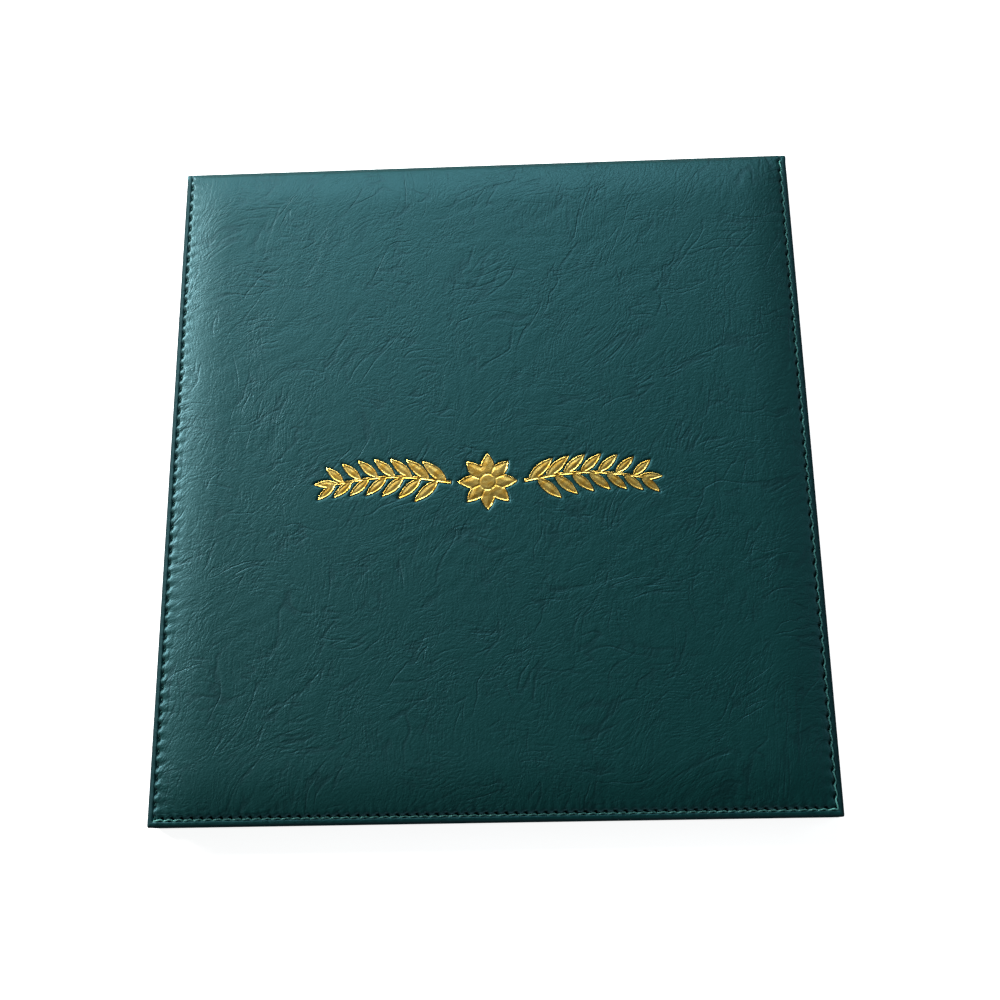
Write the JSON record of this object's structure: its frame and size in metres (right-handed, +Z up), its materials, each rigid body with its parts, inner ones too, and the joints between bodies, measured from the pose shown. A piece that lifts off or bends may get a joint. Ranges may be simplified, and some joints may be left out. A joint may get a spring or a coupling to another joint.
{
  "type": "diploma cover",
  "caption": "Padded turned-edge leatherette diploma cover, sewn round its edges and folded along its top edge, which opens flat to show a sheet held under corner ribbons.",
  "frame": {"origin": "centre of the closed cover's outline, on the plane that its back panel lies on", "axes": "+X to the right of the front's ornament as it is read, +Y toward the fold along the top edge, +Z up out of the front panel"},
  "size_m": [0.275, 0.292, 0.0148],
  "materials": {
    "leatherette": "satin",
    "board": "matte",
    "foam": "matte",
    "lining": "satin",
    "thread": "satin",
    "ribbon": "satin",
    "foil": "gloss"
  },
  "bodies": {
    "back_panel": {"back_leatherette": "leatherette", "back_board": "board", "back_lining": "lining", "back_needle_thread": "thread", "back_bobbin_thread": "thread", "ribbon_bottom_left": "ribbon", "ribbon_bottom_right": "ribbon", "ribbon_fold_left": "ribbon", "ribbon_fold_right": "ribbon"},
    "spine": {"spine_leatherette": "leatherette", "spine_liner": "lining"},
    "front_panel": {"front_leatherette": "leatherette", "front_board": "board", "front_lining": "lining", "front_needle_thread": "thread", "front_bobbin_thread": "thread", "front_foam_pad": "foam", "foil_left_sprig": "foil", "foil_rosette": "foil", "foil_right_sprig": "foil"}
  },
  "joints": [
    {"name": "spine_fold", "type": "hinge", "parent": "back_panel", "child": "spine", "pos_m": [0, 0.1455, 0.0005], "axis": [-1, 0, 0], "range_deg": [0, 65]},
    {"name": "cover_fold", "type": "hinge", "parent": "spine", "child": "front_panel", "pos_m": [0, 0.1455, 0.0105], "axis": [-1, 0, 0], "range_deg": [0, 115]}
  ],
  "couplings": [
    {"joint": "spine_fold", "follows": "cover_fold", "ratio": 0.56522}
  ]
}
